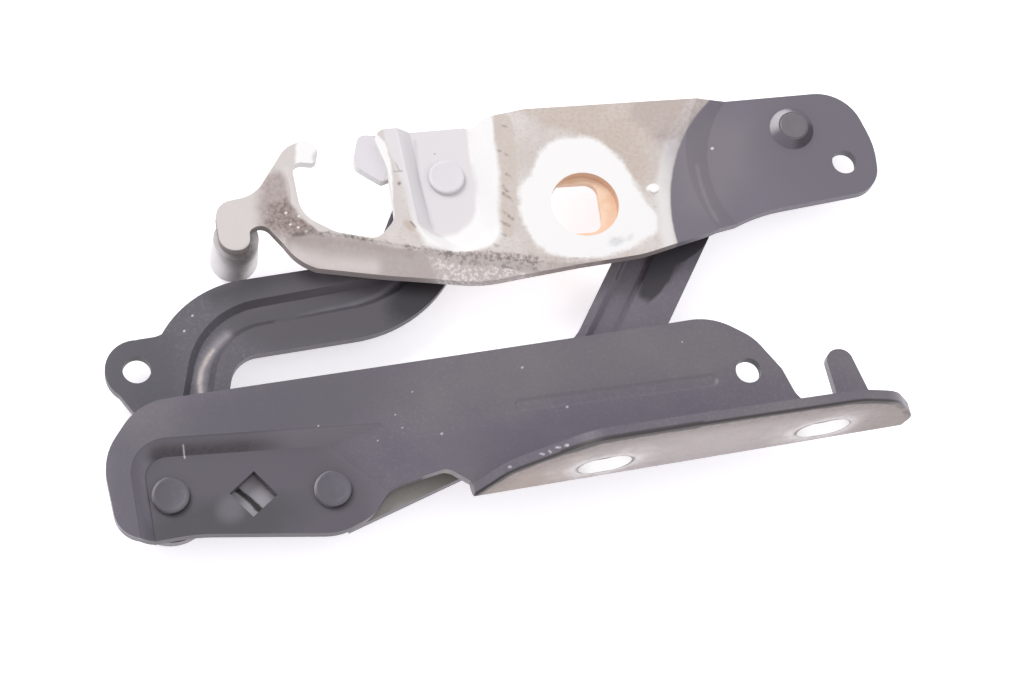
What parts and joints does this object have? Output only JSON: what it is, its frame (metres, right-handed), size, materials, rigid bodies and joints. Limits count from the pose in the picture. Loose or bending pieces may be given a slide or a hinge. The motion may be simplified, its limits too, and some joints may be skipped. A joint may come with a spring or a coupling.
{
  "type": "bonnet hinge",
  "caption": "Four-link bonnet hinge: a body bracket and a flanged bonnet bracket joined by a swan neck link and a channel link on riveted pivots.",
  "frame": {"origin": "centre of the body bolt hole on the front face of the body bracket, at the mount body_bolt", "axes": "+Z along the pivots, out of the side that the flange stands on; +X along the flange; +Y from the bonnet bracket towards the body bracket"},
  "size_m": [0.2835, 0.1368, 0.0633],
  "materials": {
    "overspray": "dusty body-colour overspray over dark primer",
    "ecoat": "satin dark electrocoat",
    "sealed_zinc": "amber wax over zinc",
    "sleeve": "pale matt sleeve with overspray",
    "bronze": "sintered bronze",
    "zinc": "dull zinc plate"
  },
  "bodies": {
    "body": {"body_bracket": "overspray", "backing_plate": "sealed_zinc", "stop_stud": "overspray", "stop_sleeve": "sleeve", "swan_body_rivet": "overspray", "swan_body_thrust_washer": "zinc", "swan_body_rear_washer": "zinc", "channel_body_rivet": "ecoat", "channel_body_thrust_washer": "zinc", "channel_body_rear_washer": "zinc"},
    "swan_neck": {"swan_neck_link": "ecoat", "swan_body_bush": "bronze", "swan_bonnet_bush": "bronze"},
    "channel": {"channel_link": "ecoat", "channel_body_bush": "bronze"},
    "bonnet": {"bonnet_bracket": "ecoat", "swan_bonnet_rivet": "ecoat", "swan_bonnet_thrust_washer": "zinc", "swan_bonnet_rear_washer": "zinc", "channel_bonnet_rivet": "ecoat", "channel_bonnet_thrust_washer": "zinc", "channel_bonnet_rear_washer": "zinc", "channel_bonnet_bush": "bronze"}
  },
  "joints": [
    {"name": "swan_neck_turn", "type": "hinge", "parent": "body", "child": "swan_neck", "pos_m": [-0.0442, 0.0187, -0.01265], "axis": [0, 0, 1], "range_deg": [-3, 45]},
    {"name": "channel_turn", "type": "hinge", "parent": "body", "child": "channel", "pos_m": [0.0806, 0.0188, -0.01265], "axis": [0, 0, 1], "range_deg": [-2.25, 33.58]},
    {"name": "bonnet_turn", "type": "hinge", "parent": "swan_neck", "child": "bonnet", "pos_m": [-0.1559, -0.0777, -0.007], "axis": [0, 0, 1], "range_deg": [-82.72, 5.52]}
  ],
  "couplings": [
    {"joint": "channel_turn", "follows": "swan_neck_turn", "ratio": 0.746},
    {"joint": "bonnet_turn", "follows": "swan_neck_turn", "ratio": -1.838}
  ]
}
